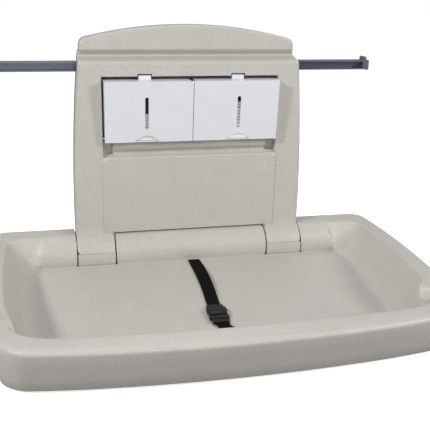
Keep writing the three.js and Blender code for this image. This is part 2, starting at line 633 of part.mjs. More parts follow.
add('wall_panel', wallPanel(), 'grey', 0.6);
add('mounting_bar', mountingBar(), 'steel', 0.4, 0.8);
add('hinge_plate', hingePlate(), 'zinc', 0.4, 0.9);
for (const [side, sign] of sides) {
  add(`bar_screw_${side}`, wallScrew(sign * STUD_X, BAR_Z, -2.5 - GAP), 'zinc', 0.4, 0.9);
  add(`plate_screw_${side}_outer`, wallScrew(sign * PLATE_SCREW_X[1], 0, -4 - GAP), 'zinc', 0.4, 0.9);
  add(`plate_screw_${side}_inner`, wallScrew(sign * PLATE_SCREW_X[0], 0, -4 - GAP), 'zinc', 0.4, 0.9);
  add(`hinge_pin_${side}`, solid(rod('x', PIN_R, ...span(sign, ...PIN_X), [HINGE_Y, 0])), 'zinc', 0.3, 1);
  add(`finger_cover_${side}`, fingerCover(sign), 'grey', 0.6);
  const coverScrew = capScrew(sign * PLATE_SCREW_X[1], HINGE_Y, -FINGER_R - GAP, -36, 2);
  add(`cover_screw_${side}`, coverScrew, 'zinc', 0.4, 0.9);
  add(`dispenser_tub_${side}`, tub(sign), 'white', 0.35);
  add(`latch_tab_${side}`, latchTab(sign), 'white', 0.35);
  add(`liner_stack_${side}`, linerStack(sign, sign > 0 ? 319 : 296), 'paper', 0.9);
  add(`tub_pin_${side}`, tubPin(...span(sign, 174, 183.4)), 'zinc', 0.4, 0.9);
  add(`hinge_bush_${side}_inner`, hingeBush(sign, true), 'nylon', 0.5);
  add(`hinge_bush_${side}_outer`, hingeBush(sign, false), 'nylon', 0.5);
}
add('tub_pin_middle', tubPin(-10, 10), 'zinc', 0.4, 0.9);
add('bed_shell', bedShell(), 'grey', 0.6);
add('bed_underside', bedUnderside(), 'grey', 0.6);
SCREW_PLACES.forEach(([x, s], i) => {
  const shellScrew = capScrew(x, toY(s), BED_BOTTOM_Z + SINK_DEPTH - GAP, -36, 1.9, 1);
  add(`underside_screw_${i + 1}`, shellScrew, 'zinc', 0.4, 0.9);
});
const damper = solid(rod('x', 15, -144, -92, [HINGE_Y, 0], 24))
  .add(solid(rod('x', 8, -93, -84, [HINGE_Y, 0], 16)));
add('hinge_damper', damper, 'nylon', 0.5);
add('strap_back', strapBack(), 'black', 0.85);
add('strap_front', strapFront(), 'black', 0.85);
add('strap_anchor_back', strapAnchorBack(), 'zinc', 0.4, 0.9);
add('strap_anchor_front', strapAnchorFront(), 'nylon', 0.5);
add('buckle_socket', buckleSocket(), 'black', 0.5);
add('buckle_plug', bucklePlug(), 'black', 0.5);

export default table;
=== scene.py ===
"""A fold-down changing table that screws to a wall, as a washroom has: a moulded panel, a moulded bed on a
steel hinge, two dispensers for paper liners and a steel bar behind the panel. Metres; X to the right,
+Y into the wall, +Z up. The wall is Y = 0 and the hinge axis is level with Z = 0."""

import bmesh
import bpy
import numpy as np
from mathutils import Matrix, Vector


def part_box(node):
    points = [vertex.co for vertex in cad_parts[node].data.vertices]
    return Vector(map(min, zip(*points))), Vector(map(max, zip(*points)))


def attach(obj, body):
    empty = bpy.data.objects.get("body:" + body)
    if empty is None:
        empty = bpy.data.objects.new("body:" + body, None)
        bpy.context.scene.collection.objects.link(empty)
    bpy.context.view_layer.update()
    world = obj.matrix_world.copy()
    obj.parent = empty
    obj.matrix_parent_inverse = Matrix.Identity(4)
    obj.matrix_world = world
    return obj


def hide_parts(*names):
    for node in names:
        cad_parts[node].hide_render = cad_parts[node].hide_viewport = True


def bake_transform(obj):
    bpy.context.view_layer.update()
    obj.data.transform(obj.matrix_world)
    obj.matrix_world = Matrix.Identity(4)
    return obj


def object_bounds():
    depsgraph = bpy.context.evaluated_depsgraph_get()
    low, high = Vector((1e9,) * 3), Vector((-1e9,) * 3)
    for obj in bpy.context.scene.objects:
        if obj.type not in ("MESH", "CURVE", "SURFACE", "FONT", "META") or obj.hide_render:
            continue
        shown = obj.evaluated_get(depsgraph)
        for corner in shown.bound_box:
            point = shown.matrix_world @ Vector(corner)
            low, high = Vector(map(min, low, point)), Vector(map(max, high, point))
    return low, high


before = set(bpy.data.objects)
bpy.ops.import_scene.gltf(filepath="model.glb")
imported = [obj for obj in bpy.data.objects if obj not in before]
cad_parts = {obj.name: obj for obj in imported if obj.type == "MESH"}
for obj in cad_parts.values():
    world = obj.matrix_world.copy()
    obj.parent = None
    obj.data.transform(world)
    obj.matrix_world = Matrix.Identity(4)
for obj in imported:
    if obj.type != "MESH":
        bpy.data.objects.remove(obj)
cad_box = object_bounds()
mm = 0.001

# ---------------------------------------------------------------------------------------------------
# Studio: a camera a little to the left and above, a white floor that glows softly under the bed, white air
# behind, a key light from the upper left, a fill from the right, a wide light above and a weak one in front.
# ---------------------------------------------------------------------------------------------------

scene = bpy.context.scene
scene.view_settings.view_transform = "Standard"

yaw, pitch, roll = 0.23682, -0.32006, 0.023039
forward = np.array([np.sin(yaw) * np.cos(pitch), np.cos(yaw) * np.cos(pitch), np.sin(pitch)])
level = np.array([np.cos(yaw), -np.sin(yaw), 0])
raised = np.cross(level, forward)
right = np.cos(roll) * level + np.sin(roll) * raised
upward = np.cos(roll) * raised - np.sin(roll) * level
camera = bpy.data.objects.new("camera", bpy.data.cameras.new("camera"))
camera.data.lens = 61.62
camera.data.sensor_width = 36
camera.matrix_world = Matrix(np.vstack([
    np.column_stack([right, upward, -forward, (-0.30015, -1.5328, 0.57139)]), (0, 0, 0, 1)]).tolist())
scene.collection.objects.link(camera)
scene.camera = camera


def linear(hex_colour):
    """An sRGB hex colour as linear RGBA: ((c + 0.055) / 1.055)^2.4, or c / 12.92 near black."""
    c = np.array([int(hex_colour[i:i + 2], 16) for i in (0, 2, 4)]) / 255
    return (*np.where(c > 0.04045, ((c + 0.055) / 1.055) ** 2.4, c / 12.92), 1)


def add_node(tree, kind, values=None, links=None):
    """Adds one shader node, sets its sockets or properties by name, and links its inputs."""
    node = tree.nodes.new(kind)
    for name, value in (values or {}).items():
        if isinstance(name, int) or name in node.inputs:
            node.inputs[name].default_value = value
        else:
            setattr(node, name, value)
    for name, source in (links or {}).items():
        tree.links.new(source, node.inputs[name])
    return node


def new_material(name):
    """An empty node material, and its tree."""
    material = bpy.data.materials.new(name)
    material.use_nodes = True
    material.node_tree.nodes.clear()
    return material, material.node_tree


def finished(tree, shader):
    """Joins a shader to the material's output."""
    add_node(tree, "ShaderNodeOutputMaterial", links={"Surface": shader.outputs[0]})


def backdrop_paper():
    """Matt white paper that looks lit from behind, which keeps the shadows on it faint, yet throws only a
    little light back up."""
    material, tree = new_material("backdrop_paper")
    glow = add_node(tree, "ShaderNodeBsdfPrincipled", {
        "Base Color": linear("F4F4F4"), "Roughness": 0.9, "Specular IOR Level": 0.0,
        "Emission Color": (1, 1, 1, 1), "Emission Strength": 0.7})
    dull = add_node(tree, "ShaderNodeBsdfDiffuse", {"Color": linear("A8A8A8")})
    seen = add_node(tree, "ShaderNodeLightPath").outputs["Is Camera Ray"]
    finished(tree, add_node(tree, "ShaderNodeMixShader", links={
        0: seen, 1: dull.outputs[0], 2: glow.outputs[0]}))
    return material


def stage_sheet(name, corners, material):
    """One flat sheet of the studio."""
    mesh = bpy.data.meshes.new(name)
    mesh.from_pydata(corners, [], [(0, 1, 2, 3)])
    mesh.materials.append(material)
    sheet = bpy.data.objects.new(name, mesh)
    scene.collection.objects.link(sheet)


paper = backdrop_paper()
floor_z = cad_box[0].z - 3 * mm
stage_sheet("floor", [(-9, -9, floor_z), (9, -9, floor_z), (9, 9, floor_z), (-9, 9, floor_z)], paper)

world = bpy.data.worlds.new("studio")
world.use_nodes = True
air = world.node_tree
air.nodes.clear()
ambient = add_node(air, "ShaderNodeBackground", {"Color": linear("F6F8FF"), "Strength": 0.38})
white = add_node(air, "ShaderNodeBackground", {"Color": (1, 1, 1, 1), "Strength": 1.0})
seen = add_node(air, "ShaderNodeLightPath").outputs["Is Camera Ray"]
both = add_node(air, "ShaderNodeMixShader", links={0: seen, 1: ambient.outputs[0], 2: white.outputs[0]})
add_node(air, "ShaderNodeOutputWorld", links={"Surface": both.outputs[0]})
scene.world = world


def soft_light(name, place, aim, size, power):
    """A square area light of that size, turned to face the point it aims at."""
    light = bpy.data.lights.new(name, "AREA")
    light.shape = "SQUARE"
    light.size = size
    light.energy = power
    lamp = bpy.data.objects.new(name, light)
    back = np.array(place, float) - np.array(aim, float)
    back /= np.linalg.norm(back)
    side = np.cross((0, 0, 1), back)
    side /= np.linalg.norm(side)
    lamp.matrix_world = Matrix(np.vstack([
        np.column_stack([side, np.cross(back, side), back, place]), (0, 0, 0, 1)]).tolist())
    scene.collection.objects.link(lamp)


soft_light("key", (-2.4, -1.6, 1.9), (0, -0.2, 0.2), 0.35, 56)
soft_light("fill", (2.0, -1.8, 1.3), (0, -0.2, 0.2), 0.6, 34)
soft_light("top", (0.2, 1.0, 2.3), (0, -0.4, 0), 1.4, 14)
soft_light("front", (-0.3, -2.6, 0.7), (0, -0.2, 0.1), 1.2, 10)


# ---------------------------------------------------------------------------------------------------
# Bed: one moulding of warm grey polyethylene. A rim runs round a basin whose floor falls to the front;
# a barrel along the hinge joins them at the back, with two pockets for the wall panel's fingers, and a
# notch in each side passes the steel bar when the bed is up.
# ---------------------------------------------------------------------------------------------------

WELD = 0.01 * mm


def moulding(name, grids, material, body, replaces=(), wall=0):
    """One smooth skin from grids of points, each rows x columns x 3. Edges that meet are welded and the faces
    turned outwards. With a wall, the skin is open at the back and gets that thickness inwards. A body that is
    a name gets the skin attached to it; any other body, such as two names and two points, is not used, and
    the skin only has its transform baked."""
    points, faces, start = [], [], 0
    for grid in grids:
        rows, columns = grid.shape[:2]
        index = start + np.arange(rows * columns).reshape(rows, columns)
        corners = [index[:-1, :-1], index[:-1, 1:], index[1:, 1:], index[1:, :-1]]
        faces.append(np.stack(corners, -1).reshape(-1, 4))
        points.append(grid.reshape(-1, 3))
        start += rows * columns
    mesh = bpy.data.meshes.new(name)
    mesh.from_pydata(np.concatenate(points).tolist(), [], np.concatenate(faces).tolist())
    work = bmesh.new()
    work.from_mesh(mesh)
    bmesh.ops.remove_doubles(work, verts=work.verts, dist=WELD)
    bmesh.ops.dissolve_degenerate(work, edges=work.edges, dist=WELD)
    bmesh.ops.recalc_face_normals(work, faces=work.faces)
    work.to_mesh(mesh)
    work.free()
    piece = bpy.data.objects.new(name, mesh)
    scene.collection.objects.link(piece)
    if wall:
        thickness = piece.modifiers.new("wall", "SOLIDIFY")
        thickness.thickness = wall
        thickness.offset = -1
    mesh.materials.append(material)
    mesh.shade_smooth()
    mesh.set_sharp_from_angle(angle=np.radians(38))
    if isinstance(body, str):
        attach(piece, body)
    else:
        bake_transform(piece)
    if replaces:
        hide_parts(*replaces)
    return piece


def rounded(corners, bends, steps=8, between=6):
    """Carries a line of points with any number of coordinates round its corners. At each inner corner p the
    line becomes (1-t)^2 a + 2t(1-t) p + t^2 b, where a and b lie the given shares back and ahead of it."""
    corners = np.array(corners, float)
    t = np.linspace(0, 1, steps + 1)[:, None]
    u = np.linspace(0, 1, between + 1)[1:, None]
    line = [corners[:1]]
    for before, here, after, (back, ahead) in zip(corners, corners[1:], corners[2:], bends):
        a = here + (before - here) * back
        b = here + (after - here) * ahead
        line.append(line[-1][-1] + u * (a - line[-1][-1]))
        line.append(((1 - t) ** 2 * a + 2 * t * (1 - t) * here + t ** 2 * b)[1:])
    line.append(line[-1][-1] + u * (corners[-1] - line[-1][-1]))
    return np.vstack(line)


def smooth(low, high, value):
    """0 below low, 1 above high, and 3t^2 - 2t^3 between them."""
    t = np.clip((value - low) / (high - low), 0, 1)
    return t * t * (3 - 2 * t)


def moulded_polyethylene():
    """High-density polyethylene from a textured mould: a warm grey with pale and dark flecks through it,
    a fine leathery grain, and a low waxy sheen. The 1 mm grain is drawn at 2 mm so that it shows."""
    material, tree = new_material("moulded_polyethylene")
    place = add_node(tree, "ShaderNodeTexCoord").outputs["Object"]
    blotch = add_node(tree, "ShaderNodeTexNoise", {"Scale": 1 / (45 * mm), "Detail": 3.0}, {"Vector": place})
    fleck = add_node(tree, "ShaderNodeTexNoise", {"Scale": 1 / (3.2 * mm), "Detail": 4.0, "Roughness": 0.7},
                     {"Vector": place})
    tone = add_node(tree, "ShaderNodeMath", {"operation": "MULTIPLY_ADD", 1: 0.22},
                    {0: blotch.outputs["Fac"], 2: fleck.outputs["Fac"]})
    ramp = add_node(tree, "ShaderNodeValToRGB", links={"Fac": tone.outputs[0]})
    ramp.color_ramp.elements[0].position = 0.4
    ramp.color_ramp.elements[0].color = linear("B2AEA7")
    ramp.color_ramp.elements[1].position = 0.82
    ramp.color_ramp.elements[1].color = linear("C5C1BA")
    grain = add_node(tree, "ShaderNodeTexNoise", {"Scale": 1 / (2 * mm), "Detail": 2.0}, {"Vector": place})
    sheen = add_node(tree, "ShaderNodeMapRange", {
        "From Min": 0.3, "From Max": 0.7, "To Min": 0.36, "To Max": 0.5}, {"Value": grain.outputs["Fac"]})
    bump = add_node(tree, "ShaderNodeBump", {"Strength": 0.22, "Distance": 0.35 * mm},
                    {"Height": grain.outputs["Fac"]})
    finished(tree, add_node(tree, "ShaderNodeBsdfPrincipled", {"IOR": 1.5}, {
        "Base Color": ramp.outputs["Color"], "Roughness": sheen.outputs[0], "Normal": bump.outputs[0]}))
    return material


polyethylene = moulded_polyethylene()

hinge_y = -56 * mm
bed_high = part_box("bed_shell")[1]
back_y = bed_high.y
rim_z = bed_high.z
axis_s = back_y - hinge_y
barrel_r = rim_z
pocket_r = barrel_r + 3.4 * mm
pocket_x = np.array([161.8, 243.3]) * mm
notch_s = np.array([389, 449]) * mm
notch_z = 14 * mm
# A station's place along a loop: stations up to the keep values stay where they are named on every loop, and
# those beyond are spread evenly to the start of the next corner.
back_keep, back_end = 250 * mm, 368 * mm
side_start, side_keep, side_end = 40 * mm, 372 * mm, 462 * mm
widest_s = 190 * mm
side_bow_r = 1900 * mm
barrel_end, barrel_flare = 292 * mm, 40 * mm
swing_r = (47, 55)
side_x = 335 * mm


def basin_floor(s):
    """Height of the basin's floor at s in front of the bed's back edge: it falls 5.5 degrees, then levels."""
    return (-14.5 - 30.5 * (np.minimum(s / mm, 400) - 84) / 316) * mm


# half width, back, front, height, share of floor height, back radius, front radius, where the front corner
# starts, and the radius that the front edge bows to
bed_profile = rounded([
    (403, 9, 520, -48.5, 0, 30, 46, 456, 2700),
    (410, 6, 533, -30, 0, 30, 50, 458, 2700),
    (418, 2, 557, 20, 0, 30, 58, 462, 2700),
    (421.5, -1.5, 564, 42, 0, 30, 62, 462, 2700),
    (383, 58, 514.5, 42, 0, 34, 80, 456, 3600),
    (349, 92, 498, 42, 1, 40, 80, 432, 3600),
    (296, 145, 445, 42, 1, 40, 70, 380, 3600),
], [(0.5, 0.25), (0.2, 0.3), (0.5, 0.24), (0.1, 0.05), (0.32, 0.5)], steps=9, between=7) * np.array(
    [mm, mm, mm, mm, 1, mm, mm, mm, mm])


def bed_stations():
    """Stations along the right half of a loop, from the middle of the back round to the middle of the front:
    their stretch (0 back edge, 1 corner, 2 side, 3 corner, 4 front edge) and their place along it."""
    edge = np.array([-2.2, -1.2, -0.5, 0, 0, 1]) * mm
    pocket = np.concatenate([pocket_x[0] + edge[:5], pocket_x[1] - edge[:5][::-1]])
    back = np.sort(np.concatenate([
        np.linspace(0, 156, 14) * mm, np.linspace(170, 236, 8) * mm, np.linspace(250, 290, 5) * mm,
        np.linspace(294, 340, 24) * mm, [352 * mm, back_end], pocket]), kind="stable")
    dip = np.array([-9, -6, -4.6, -3.4, -2.4, -1.6, -0.9, -0.3,
                    0.2, 0.6, 1, 1.6, 2.6, 4, 6, 8.5, 11.5, 15]) * mm
    side = np.sort(np.concatenate([
        np.linspace(side_start, side_keep, 18), notch_s[0] + dip, notch_s[1] - dip,
        [notch_s.mean(), side_end]]))
    turn = np.linspace(0, np.pi / 2, 15)[1:-1]
    front = np.linspace(1, 0, 30)
    parts = [back, turn, side, turn, front]
    return np.concatenate([np.full(len(part), i) for i, part in enumerate(parts)]), np.concatenate(parts)


def bed_loops(profile, stretch, at):
    """Points of the right half of every loop of the profile, as x, s and z arrays, rows x stations. A loop is
    a rounded rectangle whose sides and front bow out; its floor rows follow the basin's floor, and the rim
    droops 3 mm along the front."""
    half, back, front, height, share, r_back, r_front, turn_s, bow = (column[:, None] for column in profile.T)
    x_back = np.where(at < back_keep, at, back_keep + (at - back_keep) / (back_end - back_keep)
                      * (half - r_back - back_keep))
    s_start = back + r_back
    s_side = np.where(at < side_keep,
                      s_start + (at - side_start) / (side_keep - side_start) * (side_keep - s_start),
                      side_keep + (at - side_keep) / (side_end - side_keep) * (turn_s - side_keep))
    x_turn = half - r_front + r_front * np.cos(at)
    x_front = at * (half - r_front)

    def front_s(x):
        return front - x * x / (2 * bow)

    x = np.select([stretch == 0, stretch == 1, stretch == 2, stretch == 3],
                  [x_back, half - r_back + r_back * np.sin(at), half + 0 * at, x_turn], x_front)
    s = np.select([stretch == 0, stretch == 1, stretch == 2, stretch == 3],
                  [back + 0 * at, back + r_back - r_back * np.cos(at), s_side,
                   turn_s + (front_s(x_turn) - turn_s) * np.sin(at)], front_s(x_front))
    x = x - (s - widest_s) ** 2 / (2 * side_bow_r) * np.clip((x - back_keep) / (half - back_keep), 0, 1)
    droop = 3 * mm * smooth(516 * mm, 566 * mm, s) * smooth(20 * mm, 42 * mm, height)
    z = (1 - share) * (height - droop) + share * basin_floor(s)
    return x, s, z


def along(path, shares):
    """Points at given shares of a path's length."""
    path = np.array(path, float)
    length = np.concatenate([[0], np.cumsum(np.linalg.norm(np.diff(path, axis=0), axis=1))])
    return np.stack([np.interp(shares, length / length[-1], column) for column in path.T], -1)


def arc(radius, start, end, steps=40):
    """An arc about the hinge axis as s and z, between two angles in degrees, 0 straight ahead and 90 up."""
    angle = np.radians(np.linspace(start, end, steps))
    return np.stack([axis_s + radius * np.cos(angle), radius * np.sin(angle)], -1)


def bed_grid():
    """The bed's skin: the loops of the profile, then the back reshaped into the barrel and its pockets, the
    sides cut down at the notches, and the middle of the floor and of the underside closed."""
    stretch, at = bed_stations()
    x, s, z = bed_loops(bed_profile, stretch, at)
    is_back = stretch <= 1
    top = np.flatnonzero(bed_profile[:, 3] >= 42 * mm - 1e-9)[0]
    end_s = bed_profile[-1, 1]
    # barrel: the rim runs level to the axis, then round the barrel and out along the floor
    flat = np.array([[bed_profile[top, 1], rim_z]])
    foot = np.array([[end_s, basin_floor(end_s)]])
    barrel = np.vstack([flat, arc(barrel_r, 90, -20.4), foot])
    steps = np.hypot(np.diff(s[top:, 0]), np.diff(z[top:, 0]))
    share = np.concatenate([[0], np.cumsum(steps)]) / steps.sum()
    s_barrel, z_barrel = s[:, :1].copy(), z[:, :1].copy()
    s_barrel[top:, 0], z_barrel[top:, 0] = along(barrel, share).T
    depth = np.concatenate([np.zeros(top), share])[:, None]
    near = np.where(is_back, 1 - smooth(0, 9 * mm, x - (barrel_end + barrel_flare * depth)), 0)
    s = s + near * (s_barrel - s)
    z = z + near * (z_barrel - z)
    # the back edge swings down past the wall and, between the fingers, past the hinge plate
    swing = np.where(x < pocket_x[1] + 1 * mm, *swing_r) * mm
    clear = axis_s - np.sqrt(np.maximum(swing ** 2 - z ** 2, 0))
    s = np.where(is_back & (s < 40 * mm), np.maximum(s, clear), s)
    # pockets: from the underside up round the finger's cover, and from there the floor's own rows
    pocket = np.vstack([[[axis_s + 2 * mm, bed_profile[0, 3]]], arc(pocket_r, -78, -18.6)])
    rows = np.arange(len(s))
    shared = rows[(rows > top) & (s_barrel[:, 0] > pocket[-1, 0] + 0.3 * mm) & (z_barrel[:, 0] < 0)][0]
    s_pocket, z_pocket = s_barrel.copy(), z_barrel.copy()
    s_pocket[:shared, 0], z_pocket[:shared, 0] = along(pocket, rows[:shared] / (shared - 1)).T
    cut = np.zeros(len(at))
    inside = (stretch == 0) & (at > pocket_x[0]) & (at < pocket_x[1])
    cut[inside] = 1
    for edge, sign in ((pocket_x[0], 1), (pocket_x[1], -1)):
        both = np.flatnonzero((stretch == 0) & (np.abs(at - edge) < 1e-9))
        cut[both[-1] if sign > 0 else both[0]] = 1
        cut[both[0] if sign > 0 else both[-1]] = 0.03
        for offset, part in ((0.5, 0.012), (1.2, 0.003)):
            cut[(stretch == 0) & (np.abs(at - (edge - sign * offset * mm)) < 1e-9)] = part
    s = s + cut * (s_pocket - s)
    z = z + cut * (z_pocket - z)
    # notches
    inwards = np.minimum(s - notch_s[0], notch_s[1] - s) / mm
    floor_of_notch = notch_z + mm * np.interp(
        inwards, [-6, -4, -2.4, -1.2, 0, 0.8, 1.6, 3, 6, 10, 15],
        [80, 42, 39.6, 37.6, 34, 22, 15, 9, 4, 1.2, 0])
    blend = 1.6 * mm
    lowered = -blend * np.logaddexp(-z / blend, -floor_of_notch / blend)
    z = np.where((stretch == 2) & (x > side_x) & (inwards > -6), lowered, z)
    # the middles of the floor and of the underside
    centre_s = 285 * mm
    closing = np.array([0.75, 0.5, 0.25, 0])[:, None]
    x_in, s_in = x[-1] * closing, centre_s + (s[-1] - centre_s) * closing
    x_under, s_under = x[0] * closing[::-1], centre_s + (s[0] - centre_s) * closing[::-1]
    x = np.vstack([x_under, x, x_in])
    s = np.vstack([s_under, s, s_in])
    z = np.vstack([np.broadcast_to(z[0], x_under.shape), z, basin_floor(s_in)])
    half = np.stack([x, back_y - s, z], -1)
    return np.concatenate([half, half[:, ::-1] * (-1, 1, 1)], axis=1)


bed = bed_grid()
bed = np.concatenate([bed, bed[:, :1]], axis=1)
moulding("bed_moulding", [bed], polyethylene, "bed", ["bed_shell"])


# ---------------------------------------------------------------------------------------------------
# Bed underside: a second moulding of the same polyethylene that closes the bed from below, held up to
# the shell by six zinc-plated screws in counterbores.
# ---------------------------------------------------------------------------------------------------


def shading_by_angle():
    """A modifier's node group that shades faces smooth where they meet at under 35 degrees."""
    group = bpy.data.node_groups.new("shade_by_angle", "GeometryNodeTree")
    group.interface.new_socket("Geometry", in_out="INPUT", socket_type="NodeSocketGeometry")
    group.interface.new_socket("Geometry", in_out="OUTPUT", socket_type="NodeSocketGeometry")
    entry = add_node(group, "NodeGroupInput")
    turn = add_node(group, "GeometryNodeInputMeshEdgeAngle")
    gentle = add_node(group, "FunctionNodeCompare", {"operation": "LESS_THAN", 1: float(np.radians(35))},
                      {0: turn.outputs["Unsigned Angle"]})
    faces = add_node(group, "GeometryNodeSetShadeSmooth", {"domain": "FACE", "Shade Smooth": True},
                     {0: entry.outputs[0]})
    edges = add_node(group, "GeometryNodeSetShadeSmooth", {"domain": "EDGE"},
                     {0: faces.outputs[0], "Shade Smooth": gentle.outputs[0]})
    add_node(group, "NodeGroupOutput", links={0: edges.outputs[0]})
    return group


shade_by_angle = shading_by_angle()


def dress(nodes, material, ease):
    """Gives CAD nodes a material and eases their edges by that width."""
    for name in nodes:
        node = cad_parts[name]
        node.data.materials.clear()
        node.data.materials.append(material)
        weld = node.modifiers.new("weld", "WELD")
        weld.merge_threshold = WELD
        if ease:
            flat = node.modifiers.new("flat", "DECIMATE")
            flat.decimate_type = "DISSOLVE"
            flat.angle_limit = np.radians(0.5)
            bevel = node.modifiers.new("ease", "BEVEL")
            bevel.width = ease
            bevel.segments = 2
            bevel.limit_method = "ANGLE"
            bevel.angle_limit = np.radians(40)
            bevel.use_clamp_overlap = True
        node.modifiers.new("shade", "NODES").node_group = shade_by_angle
        if ease:
            node.modifiers.new("even", "WEIGHTED_NORMAL").keep_sharp = True


dress(["bed_underside"], polyethylene, 0)


# ---------------------------------------------------------------------------------------------------
# Hinge: a zinc-plated steel plate on the wall with four upright ears, a pin through each pair, nylon
# bushes and a rotary damper in the bed's barrel, and the screws and strap plate of the same steel.
# ---------------------------------------------------------------------------------------------------


def zinc_plate():
    """Zinc-plated steel: a pale cool metal with a cloudy passivated bloom 12 mm across, rougher where it is
    paler.
    """
    material, tree = new_material("zinc_plated_steel")
    place = add_node(tree, "ShaderNodeTexCoord").outputs["Object"]
    cloud = add_node(tree, "ShaderNodeTexNoise", {"Scale": 1 / (12 * mm), "Detail": 5.0}, {"Vector": place})
    ramp = add_node(tree, "ShaderNodeValToRGB", links={"Fac": cloud.outputs["Fac"]})
    ramp.color_ramp.elements[0].color = linear("9EA2A6")
    ramp.color_ramp.elements[1].color = linear("C9CCCE")
    dull = add_node(tree, "ShaderNodeMapRange", {"To Min": 0.28, "To Max": 0.46},
                    {"Value": cloud.outputs["Fac"]})
    finished(tree, add_node(tree, "ShaderNodeBsdfPrincipled", {"Metallic": 1.0}, {
        "Base Color": ramp.outputs["Color"], "Roughness": dull.outputs[0]}))
    return material


def dark_nylon():
    """Dark grey nylon, moulded, with a faint 1.5 mm cloud of glass fibre near its surface."""
    material, tree = new_material("dark_nylon")
    place = add_node(tree, "ShaderNodeTexCoord").outputs["Object"]
    cloud = add_node(tree, "ShaderNodeTexNoise", {"Scale": 1 / (1.5 * mm), "Detail": 3.0}, {"Vector": place})
    ramp = add_node(tree, "ShaderNodeValToRGB", links={"Fac": cloud.outputs["Fac"]})
    ramp.color_ramp.elements[0].color = linear("232427")
    ramp.color_ramp.elements[1].color = linear("34363A")
    finished(tree, add_node(tree, "ShaderNodeBsdfPrincipled", {"Roughness": 0.5, "IOR": 1.53}, {
        "Base Color": ramp.outputs["Color"]}))
    return material


sides = ("left", "right")
zinc = zinc_plate()
nylon = dark_nylon()
ends = ("inner", "outer")
dress(["hinge_plate"], zinc, 0.6 * mm)
dress([f"hinge_pin_{side}" for side in sides] + [f"tub_pin_{side}" for side in (*sides, "middle")]
      + [f"{part}_screw_{side}" for part in ("bar", "cover") for side in sides]
      + [f"plate_screw_{side}_{end}" for side in sides for end in ends]
      + [f"underside_screw_{i}" for i in range(1, 7)], zinc, 0.25 * mm)
dress([f"hinge_bush_{side}_{end}" for side in sides for end in ends]
      + ["hinge_damper", "strap_anchor_front"], nylon, 0.3 * mm)
dress(["strap_anchor_back"], zinc, 0.3 * mm)


# ---------------------------------------------------------------------------------------------------
# Wall panel: a moulding of the same polyethylene, open behind. Its face carries a recess for the tubs, a
# groove to pull the liners from and a low raised field; above a ledge the plate steps back to an arched
# top, and at its foot two fingers curl out round the hinge.
# ---------------------------------------------------------------------------------------------------

finger_r = 44 * mm
finger_x = 164.5 * mm
finger_end = (14.6, 78)
recess_half = 182 * mm
recess_z = np.array([236.2, 369]) * mm
groove_z = 206.5 * mm
shelf_half = 162 * mm
tab_x = np.mean([v.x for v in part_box("latch_tab_right")])
recess_y, groove_y, tab_y = -17.5 * mm, -46 * mm, -44 * mm
tab_gap = 14.5 * mm
tab_z = np.array([360, 374]) * mm
field_half, field_top, field_r = 184 * mm, 205 * mm, 12 * mm
field_step = 2.2 * mm
cheek_half, cheek_bow_z, cheek_bow_r = 241.8 * mm, 82 * mm, 3240 * mm
ledge_z = (410.5 * mm, 413.5 * mm)
panel_foot = 45 * mm
edge_r = 5 * mm
arch_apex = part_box("wall_panel")[1].z
arch_r = 860 * mm
bar_slot_z = np.array([372, 396]) * mm
plate_half = 222 * mm
shoulder = 16 * mm

face_line = rounded([(-64, 45), (-66, 110), (-66, 397.5), (-24, 406), (-36, 418.5), (-36, 470)],
                    [(0.5, 0.4), (0.02, 0.14), (0.12, 0.35), (0.14, 0.05)]) * mm


def fine(places, edge=(-1.6, -0.9, -0.45, -0.1, 0.15, 0.4), side=1):
    """Grid lines packed close on both sides of each place, in millimetres; side -1 packs the other way."""
    return [place + side * step for place in places for step in edge]


panel_z = np.unique(np.concatenate([
    np.linspace(48, 190, 14), np.linspace(190, 206, 12), fine([206.5]), np.linspace(207.5, 233, 22),
    fine([236.2]), np.linspace(242, 360, 9), fine([369, 374]), [371.8, 372.3, 380, 388, 395.7, 396.2],
    np.linspace(390, 420, 34)])) * mm
panel_x = np.sort(np.concatenate([
    np.linspace(0, 78, 9), fine([81.5]), [88, 96, 104], fine([110.5], side=-1), np.linspace(115, 158, 5),
    fine([162]), [164.5, 164.5, 164.9, 165.8, 167], np.linspace(169, 180, 8), fine([182], side=-1),
    fine([185], (-0.2, 0.3, 0.9, 1.5)), [190, 196]])) * mm
outer_shares = np.array([0.25, 0.5, 0.75, 1])
foot_turn = np.linspace(0, 1, 16)
top_rise = np.linspace(0, 1, 8)[1:]


def cheek_edge(z):
    """Half width of the panel at a height: straight, then curving in, then the narrower plate."""
    curved = cheek_half - np.maximum(0, z - cheek_bow_z) ** 2 / (2 * cheek_bow_r)
    return curved + (plate_half - curved) * smooth(*ledge_z, z)


def panel_face(x, z):
    """The face's Y: the rounded side line, less the raised field, cut back in the groove and the recess."""
    base = np.interp(z, face_line[:, 1], face_line[:, 0])
    over_x, over_z = np.abs(x) - (field_half - field_r), z - (field_top - field_r)
    outside = np.hypot(np.maximum(over_x, 0), np.maximum(over_z, 0)) - field_r
    outside += np.minimum(np.maximum(over_x, over_z), 0)
    base = base - field_step * (1 - smooth(-1.1 * mm, 0.9 * mm, outside))
    shelf = np.interp(z / mm, [206.5, 208.5, 211, 213, 218, 220, 222, 229, 231.5, 236],
                      [-62, -58, -54, -53, -56, -59.5, -62, -63, -61.5, -60]) * mm
    pocket = np.where(z < 211 * mm, shelf, groove_y)
    target = shelf + (pocket - shelf) * smooth(shelf_half - 0.8 * mm, shelf_half + 0.8 * mm, np.abs(x))
    target = np.where(z > recess_z[0], recess_y, target)
    target = np.where(z > recess_z[1], tab_y, target)
    deep = np.minimum(recess_half - np.abs(x), np.minimum(z - groove_z, recess_z[1] - z))
    by_tab = np.minimum(tab_gap - np.abs(np.abs(x) - tab_x), np.minimum(z - tab_z[0], tab_z[1] - z))
    cut = np.interp(np.maximum(deep, by_tab) / mm, [-1.6, -0.5, 0, 0.3], [0, 0.02, 0.06, 1])
    return base + cut * (target - base)


